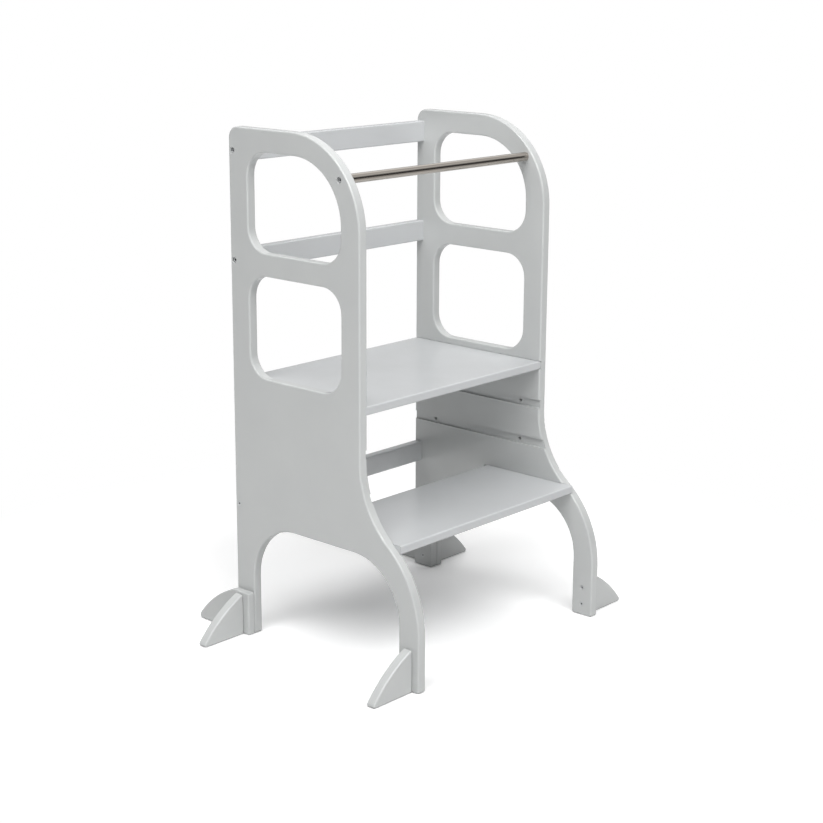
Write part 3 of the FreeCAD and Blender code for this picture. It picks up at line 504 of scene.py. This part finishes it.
@dataclass(frozen=True)
class Screw:
    """One screw as a closed surface of revolution with a recess in its head and a thread.

    Attributes hold millimetres. Heights are measured from the top of the head along the shank. The
    floor rings are shares of the drive's radius, and the face share is what is left of the drive's
    outline half-way from the drive to the rim.
    """

    drive: Drive
    drive_radius: float
    drive_depth: float
    head_radius: float
    head_height: float
    rim: float
    countersunk: bool
    shank_radius: float
    length: float
    plain_shank: float
    point: float
    pitch: float
    thread_depth: float
    lip: float = 0.15
    floor_rings: tuple[float, float] = (0.5, 0.92)
    face_share: float = 0.3
    tip_gap: float = 0.05
    around: int = 48
    rows_per_turn: int = 6

    def profile(self) -> tuple[np.ndarray, np.ndarray, np.ndarray]:
        """Rows of the head's surface, from the recess's floor over the rim to the shank.

        Returns:
            Height, radius, and share of the drive's outline in the radius, for each row.
        """
        inner_ring, outer_ring = self.floor_rings
        mid_face = (self.drive_radius + self.head_radius) / 2
        top = [
            (self.drive_depth, self.drive_radius * inner_ring, 1.0),
            (self.drive_depth, self.drive_radius * outer_ring, 1.0),
            (self.drive_depth - self.lip, self.drive_radius, 1.0),
            (self.lip, self.drive_radius, 1.0),
            (0.0, self.drive_radius + self.lip, 1.0),
            (0.0, mid_face, self.face_share),
            (0.0, self.head_radius - self.rim, 0.0),
            (self.rim, self.head_radius, 0.0),
        ]
        side = [] if self.countersunk else [(self.head_height, self.head_radius, 0.0)]
        neck = [(self.head_height, self.shank_radius, 0.0)]
        height, radius, share = np.array(top + side + neck).T
        return height, radius, share

    def surface(self) -> tuple[np.ndarray, np.ndarray]:
        """Points and faces of the screw, with its head's top on the origin and its shank along +X.

        A point at height a and angle t is at (a, r cos t, r sin t). In the head r comes from the
        profile, mixed with the drive's outline. On the shank r is the shank's radius less a
        triangle wave of height over pitch and angle, which is the thread, and over the point it
        shrinks evenly to the tip.

        Returns:
            An array of points in metres and an array of quads, the poles closed by triangles
            written as quads with a repeated corner.
        """
        turn = np.arange(self.around) * 2 * math.pi / self.around
        height, radius, share = self.profile()
        outline = self.drive.outline(turn, 1.0)
        head_r = radius[:, None] * (1 + share[:, None] * (outline[None, :] - 1))
        head_a = np.repeat(height[:, None], self.around, axis=1)

        start = self.head_height + self.plain_shank
        rows = int((self.length - start) / self.pitch * self.rows_per_turn) + 1
        along = np.linspace(start, self.length - self.tip_gap, rows)[:, None]
        phase = np.mod(along / self.pitch - turn[None, :] / (2 * math.pi), 1.0)
        groove = self.thread_depth * np.abs(2 * phase - 1)
        taper = np.clip((self.length - along) / self.point, 0.0, 1.0)
        fade = np.clip((along - start) / self.pitch, 0.0, 1.0)
        shank_r = (self.shank_radius - groove * fade) * taper
        shank_a = np.repeat(along, self.around, axis=1)

        reach = np.concatenate([head_a, shank_a]) * MM
        width = np.concatenate([head_r, shank_r]) * MM
        ring = np.stack([reach, width * np.cos(turn), width * np.sin(turn)], axis=-1)
        poles = np.array([[self.drive_depth, 0.0, 0.0], [self.length, 0.0, 0.0]]) * MM
        points = np.concatenate([ring.reshape(-1, 3), poles])

        row = np.arange(len(reach) - 1)[:, None] * self.around
        here = np.arange(self.around)[None, :]
        after = (here + 1) % self.around
        sides = np.stack(
            [row + here, row + after, row + after + self.around, row + here + self.around], axis=-1
        ).reshape(-1, 4)
        floor, tip = len(points) - 2, len(points) - 1
        last = (len(reach) - 1) * self.around
        near, far = here[0], after[0]
        start_cap = np.stack([np.full_like(near, floor), far, near, near], axis=-1)
        end_cap = np.stack([np.full_like(near, tip), last + near, last + far, last + far], axis=-1)
        return points, np.concatenate([sides, start_cap, end_cap])


FRONT_SCREW = Screw(
    drive=Drive.STAR, drive_radius=1.75, drive_depth=1.9, head_radius=4.2, head_height=1.95,
    rim=0.3, countersunk=True, shank_radius=2.2, length=43.5, plain_shank=16.0, point=6.0,
    pitch=2.2, thread_depth=0.55,
)
REAR_SCREW = replace(FRONT_SCREW, length=58.5)
SOCKET_BOLT = Screw(
    drive=Drive.HEXAGON, drive_radius=2.0, drive_depth=2.6, head_radius=4.7, head_height=4.0,
    rim=0.6, countersunk=False, shank_radius=2.95, length=39.0, plain_shank=9.0, point=0.9,
    pitch=1.0, thread_depth=0.5,
)


@dataclass(frozen=True)
class ScrewSet:
    """Screws that stand for one CAD node: the head's face and direction along X, and the places."""

    node: str
    screw: Screw
    head_x: float
    shank_side: int
    places: tuple[tuple[float, float], ...]

    def build(self, finish: bpy.types.Material) -> bpy.types.Object:
        """Make one object with all the screws of the set.

        Args:
            finish: the material of the screws.

        Returns:
            The object, which rides on the body and stands for the node.
        """
        points, quads = self.screw.surface()
        turned = points * np.array([self.shank_side, self.shank_side, 1.0])
        shifts = np.array([[self.head_x, y, z] for y, z in self.places]) * MM
        all_points = (turned[None] + shifts[:, None]).reshape(-1, 3)
        steps = np.arange(len(self.places))[:, None, None] * len(points)
        all_quads = (quads[None] + steps).reshape(-1, 4)
        return surface_object(self.node + "_turned", all_points, all_quads, finish, self.node)


def surface_object(
    name: str, points: np.ndarray, quads: np.ndarray, finish: bpy.types.Material, node: str
) -> bpy.types.Object:
    """Put a closed surface into a mesh object that stands for a CAD node.

    The signed volume, a sixth of the sum over the faces of a corner's product with the cross
    product of the next two, is positive where the faces point outwards; otherwise they are turned.

    Args:
        name: the object's name.
        points: array of points in metres.
        quads: array of four corners for each face, the last one repeated for a triangle.
        finish: the material.
        node: the CAD node that the object stands for.

    Returns:
        The object, riding on the body.
    """
    first, second, third, fourth = (points[quads[:, corner]] for corner in range(4))
    volume = np.einsum("ij,ij->", first, np.cross(second, third) + np.cross(third, fourth)) / 6
    if volume < 0:
        quads = quads[:, ::-1]
    faces = [list(dict.fromkeys(face)) for face in quads.tolist()]
    mesh = bpy.data.meshes.new(name)
    mesh.from_pydata(points.tolist(), [], faces)
    mesh.materials.append(finish)
    mesh.shade_smooth()
    mesh.set_sharp_from_angle(angle=SHARP_ANGLE)
    piece = bpy.data.objects.new(name, mesh)
    bpy.context.scene.collection.objects.link(piece)
    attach(piece, BODY)
    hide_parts(node)
    return piece


@dataclass(frozen=True)
class Fasteners:
    """All screws of the stool. The places are those of the CAD solids, in millimetres."""

    seat_x: float = 243.0
    inner_face_x: float = 228.5
    outer_face_x: float = 245.5
    slat_y: float = 166.0
    rail_place: tuple[float, float] = (-85.5, 831.5)
    slat_heights: tuple[float, float] = (859.5, 672.75)
    lower_slat_height: float = 237.0
    front_leg_y: float = -240.75
    rear_leg_y: float = 152.75
    fin_heights: tuple[float, float] = (53.0, 21.5)

    def sets(self) -> list[ScrewSet]:
        """List the sets of screws of both sides.

        Returns:
            Slat, rail, fin and lower slat screws; a bolt's shank points inwards, a fin screw's out.
        """
        found = []
        slats = tuple((self.slat_y, z) for z in self.slat_heights)
        front = tuple((self.front_leg_y, z) for z in self.fin_heights)
        rear = tuple((self.rear_leg_y, z) for z in self.fin_heights)
        rail, lower = (self.rail_place,), ((self.slat_y, self.lower_slat_height),)
        for hand, side in SIDES:
            seat, inner, outer = (
                side * x for x in (self.seat_x, self.inner_face_x, self.outer_face_x)
            )
            found += [
                ScrewSet(f"{hand}_slat_screws", SOCKET_BOLT, seat, -side, slats),
                ScrewSet(f"{hand}_rail_screw", SOCKET_BOLT, seat, -side, rail),
                ScrewSet(f"{hand}_front_fin_screws", FRONT_SCREW, inner, side, front),
                ScrewSet(f"{hand}_rear_fin_screws", REAR_SCREW, inner, side, rear),
                ScrewSet(f"{hand}_lower_slat_screw", FRONT_SCREW, outer, -side, lower),
            ]
        return found

    def build(self, finish: bpy.types.Material) -> None:
        """Make every set and report it.

        Args:
            finish: the plating of the screws.
        """
        for screws in self.sets():
            piece = screws.build(finish)
            count, faces = len(screws.places), len(piece.data.polygons)
            log.info("%s: %d screws, %d faces", piece.name, count, faces)


# ------------------------------------------------------------------------------------------
# Boards, rail and pins
# ------------------------------------------------------------------------------------------


def both_hands(kinds: tuple[str, ...]) -> tuple[str, ...]:
    """Name the left and the right node of each kind of piece."""
    return tuple(f"{hand}_{kind}" for kind in kinds for hand, _ in SIDES)


@dataclass(frozen=True)
class Joinery:
    """The CAD solids that keep their shape and get a finish: boards, rail, plugs and pins.

    The coats are the two paint tones of the boards whose grain runs upright or level.
    """

    upright_boards: tuple[str, ...] = ("side_panel", "heel_fin", "front_fin", "rear_fin")
    upright_coats: tuple[str, str] = ("c9cbca", "c2c4c4")
    level_boards: tuple[str, ...] = ("platform", "step", "top_slat", "middle_slat", "lower_slat")
    level_coats: tuple[str, str] = ("c9cbcd", "c4c6c7")
    tubes: tuple[str, ...] = ("front_rail",)
    plated: tuple[str, ...] = ("slat_sleeves", "rail_plug")
    pins: tuple[str, ...] = ("slat_pins", "platform_pins", "step_pins")

    def dress(self, plating: bpy.types.Material) -> None:
        """Give each group of solids its finish.

        Args:
            plating: the finish of the sleeves and plugs, shared with the screws.
        """
        upright = SatinPaint("satin_grey_paint_upright", Grain.UPRIGHT, *self.upright_coats)
        level = SatinPaint("satin_grey_paint_level", Grain.LEVEL, *self.level_coats)
        groups = (
            (both_hands(self.upright_boards), upright.make()),
            (self.level_boards, level.make()),
            (self.tubes, BrushedStainless().make()),
            (both_hands(self.plated), plating),
            (both_hands(self.pins), RawBeech().make()),
        )
        for names, finish in groups:
            for name in names:
                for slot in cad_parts[name].material_slots:
                    slot.material = finish
            log.info("%s: %s", finish.name, ", ".join(names))


# ------------------------------------------------------------------------------------------
# Studio
# ------------------------------------------------------------------------------------------


def sky_direction(bearing: float, climb: float) -> tuple[float, float, float]:
    """Unit vector towards a bearing from +Y towards +X and a climb above the level.

    It is (sin b cos c, cos b cos c, sin c) for the bearing b and the climb c.

    Args:
        bearing: the bearing in degrees.
        climb: the climb in degrees.

    Returns:
        The vector's three parts.
    """
    turn, rise = math.radians(bearing), math.radians(climb)
    return math.sin(turn) * math.cos(rise), math.cos(turn) * math.cos(rise), math.sin(rise)


@dataclass(frozen=True)
class SoftBox:
    """Square soft box that aims at the middle of the stool.

    The swing is the angle in degrees round the stool from the camera's side towards its right, and
    the climb is the angle above the level. A box out of gloss stands for light off the room's
    walls, which has no bright shape of its own to mirror.
    """

    name: str
    swing: float
    climb: float
    share: float
    side: float
    in_gloss: bool = True
    distance: float = 4.0

    def build(self, target: Vector, heading: float) -> None:
        """Add the lamp. Its power gives a white surface that faces it the stated share of white.

        Args:
            target: the point that the lamp aims at.
            heading: the camera's heading in degrees, from +Y towards +X.
        """
        away = Vector(sky_direction(heading + 180 - self.swing, self.climb))
        data = bpy.data.lights.new(self.name, "AREA")
        data.shape = "SQUARE"
        data.size = self.side
        data.energy = self.share * (math.pi * self.distance) ** 2
        lamp = bpy.data.objects.new(self.name, data)
        lamp.location = target + away * self.distance
        lamp.rotation_euler = (-away).to_track_quat("-Z", "Y").to_euler()
        lamp.visible_camera = False
        lamp.visible_glossy = self.in_gloss
        bpy.context.scene.collection.objects.link(lamp)


@dataclass(frozen=True)
class Studio:
    """White paper floor that fades into a white room, and soft boxes all round the stool.

    Lengths are metres. The nearness of a direction is the cosine of its angle from the ceiling's
    palest place.
    """

    floor_radius: float = 6.0
    floor_points: int = 96
    floor_drop: float = 0.0003
    paper: str = "eaeaea"
    seen_paper: float = 1.2
    fade_from: float = 0.55
    fade_to: float = 1.05
    ceiling_climb: float = 75.0
    ceiling_in_gloss: float = 1.05
    ceiling_nearness: float = 0.85
    horizon_in_gloss: float = 0.05
    horizon_nearness: float = 0.1
    target: tuple[float, float, float] = (0.0, 0.0, 0.45)
    boxes: tuple[SoftBox, ...] = (
        SoftBox("front_left_box", -25.0, 52.0, 0.41, 2.25),
        SoftBox("front_right_box", 25.0, 50.0, 0.56, 2.25),
        SoftBox("left_box", -47.0, 42.0, 0.17, 2.1),
        SoftBox("right_box", 45.0, 42.0, 0.205, 2.1),
        SoftBox("rear_left_box", -152.0, 56.0, 0.32, 3.2, in_gloss=False),
        SoftBox("rear_right_box", 142.0, 50.0, 0.23, 3.0, in_gloss=False),
    )

    def build(self, heading: float) -> None:
        """Make the world, the floor and the lamps.

        Args:
            heading: the camera's heading in degrees.
        """
        self.make_world(heading)
        self.make_floor()
        for box in self.boxes:
            box.build(Vector(self.target), heading)

    def make_world(self, heading: float) -> None:
        """Make the white room that is seen straight or through glass.

        In gloss its ceiling is pale and its horizon dark. The pale part leans away from the
        camera's side, where the rear lamps light the ceiling.

        Args:
            heading: the camera's heading in degrees.
        """
        world = bpy.data.worlds.new("white_room")
        world.use_nodes = True
        tree = world.node_tree
        tree.nodes.clear()
        palest = sky_direction(heading, self.ceiling_climb)
        direction = add_node(tree, "ShaderNodeTexCoord").outputs["Generated"]
        nearness = add_node(
            tree, "ShaderNodeVectorMath", {"operation": "DOT_PRODUCT"}, {0: direction, 1: palest}
        )
        ceiling = add_node(
            tree, "ShaderNodeMapRange", {"interpolation_type": "SMOOTHSTEP"},
            {
                "Value": nearness.outputs["Value"], "From Min": self.horizon_nearness,
                "From Max": self.ceiling_nearness, "To Min": self.horizon_in_gloss,
                "To Max": self.ceiling_in_gloss,
            },
        )
        path = add_node(tree, "ShaderNodeLightPath")
        gloss = add_node(
            tree, "ShaderNodeMath", {"operation": "MULTIPLY"},
            {0: path.outputs["Is Glossy Ray"], 1: ceiling.outputs["Result"]},
        )
        straight = add_node(
            tree, "ShaderNodeMath", {"operation": "MAXIMUM"},
            {0: path.outputs["Is Camera Ray"], 1: path.outputs["Is Transmission Ray"]},
        )
        strength = add_node(
            tree, "ShaderNodeMath", {"operation": "MAXIMUM"},
            {0: straight.outputs["Value"], 1: gloss.outputs["Value"]},
        )
        room = add_node(
            tree, "ShaderNodeBackground", {},
            {"Color": linear("ffffff"), "Strength": strength.outputs["Value"]},
        )
        add_node(tree, "ShaderNodeOutputWorld", {}, {"Surface": room.outputs["Background"]})
        bpy.context.scene.world = world

    def make_floor(self) -> None:
        """Lay the paper under the stool: a disc with its rim at cosine and sine of the angle."""
        turn = np.arange(self.floor_points) * 2 * math.pi / self.floor_points
        rim = np.stack([np.cos(turn), np.sin(turn), np.zeros_like(turn)], axis=-1)
        rim *= self.floor_radius
        mesh = bpy.data.meshes.new("paper_floor")
        mesh.from_pydata(rim.tolist(), [], [list(range(len(rim)))])
        mesh.materials.append(self.make_paper())
        floor = bpy.data.objects.new("paper_floor", mesh)
        floor.location.z = -self.floor_drop
        bpy.context.scene.collection.objects.link(floor)

    def make_paper(self) -> bpy.types.Material:
        """Matt white paper that keeps the shadow and turns into the white room further out.

        Returns:
            Paper that looks lighter to the camera than to the light it throws back on the stool,
            with plain white mixed in by the distance from the stool.
        """
        material, tree = empty_material("white_background_paper")
        place = add_node(tree, "ShaderNodeTexCoord").outputs["Object"]
        path = add_node(tree, "ShaderNodeLightPath")
        colour = add_node(
            tree, "ShaderNodeMix", {"data_type": "RGBA"},
            {
                "Factor": path.outputs["Is Camera Ray"], MIX_A: linear(self.paper),
                MIX_B: (self.seen_paper, self.seen_paper, self.seen_paper, 1.0),
            },
        )
        paper = add_node(tree, "ShaderNodeBsdfDiffuse", {}, {"Color": colour.outputs[MIX_RESULT]})
        distance = add_node(tree, "ShaderNodeVectorMath", {"operation": "LENGTH"}, {0: place})
        outwards = add_node(
            tree, "ShaderNodeMapRange", {"interpolation_type": "SMOOTHSTEP"},
            {
                "Value": distance.outputs["Value"], "From Min": self.fade_from,
                "From Max": self.fade_to,
            },
        )
        seen = add_node(
            tree, "ShaderNodeMath", {"operation": "MULTIPLY"},
            {0: path.outputs["Is Camera Ray"], 1: outwards.outputs["Result"]},
        )
        white = add_node(
            tree, "ShaderNodeEmission", {}, {"Color": linear("ffffff"), "Strength": 1.0}
        )
        mixed = add_node(
            tree, "ShaderNodeMixShader", {},
            {0: seen.outputs["Value"], 1: paper.outputs["BSDF"], 2: white.outputs["Emission"]},
        )
        add_node(tree, "ShaderNodeOutputMaterial", {}, {"Surface": mixed.outputs["Shader"]})
        return material


@dataclass(frozen=True)
class PhotoCamera:
    """Camera at the photograph's viewing angle, fitted to it by least squares.

    The photograph's uprights are parallel, as a shifted lens makes them. This camera has no shift
    and looks down instead, because a shift would push the object out of every other view.
    """

    position: tuple[float, float, float] = (-2.22789, -2.04039, 1.18210)
    heading: float = 47.818
    pitch: float = 14.719
    roll: float = 0.3265
    lens_mm: float = 76.367
    sensor_mm: float = 36.0
    far_clip: float = 100.0

    def build(self) -> None:
        """Add the camera. It looks along +Y, is rolled, pitched down and turned to its heading."""
        data = bpy.data.cameras.new("photo_camera")
        data.lens = self.lens_mm
        data.sensor_width = self.sensor_mm
        data.clip_end = self.far_clip
        camera = bpy.data.objects.new("photo_camera", data)
        turn = (
            Matrix.Rotation(math.radians(-self.heading), 4, "Z")
            @ Matrix.Rotation(math.radians(90 - self.pitch), 4, "X")
            @ Matrix.Rotation(math.radians(self.roll), 4, "Z")
        )
        camera.matrix_world = Matrix.Translation(self.position) @ turn
        bpy.context.scene.collection.objects.link(camera)
        bpy.context.scene.camera = camera


# ------------------------------------------------------------------------------------------
# The whole scene
# ------------------------------------------------------------------------------------------


def main() -> None:
    """Dress the frame, make the screws, the studio and the camera."""
    logging.basicConfig(level=logging.INFO, format="%(message)s")
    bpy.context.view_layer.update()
    plating = ZincPlate().make()
    Joinery().dress(plating)
    Fasteners().build(plating)
    camera = PhotoCamera()
    camera.build()
    Studio().build(camera.heading)
    bpy.context.scene.view_settings.view_transform = "Standard"


if __name__ == "__main__":
    main()
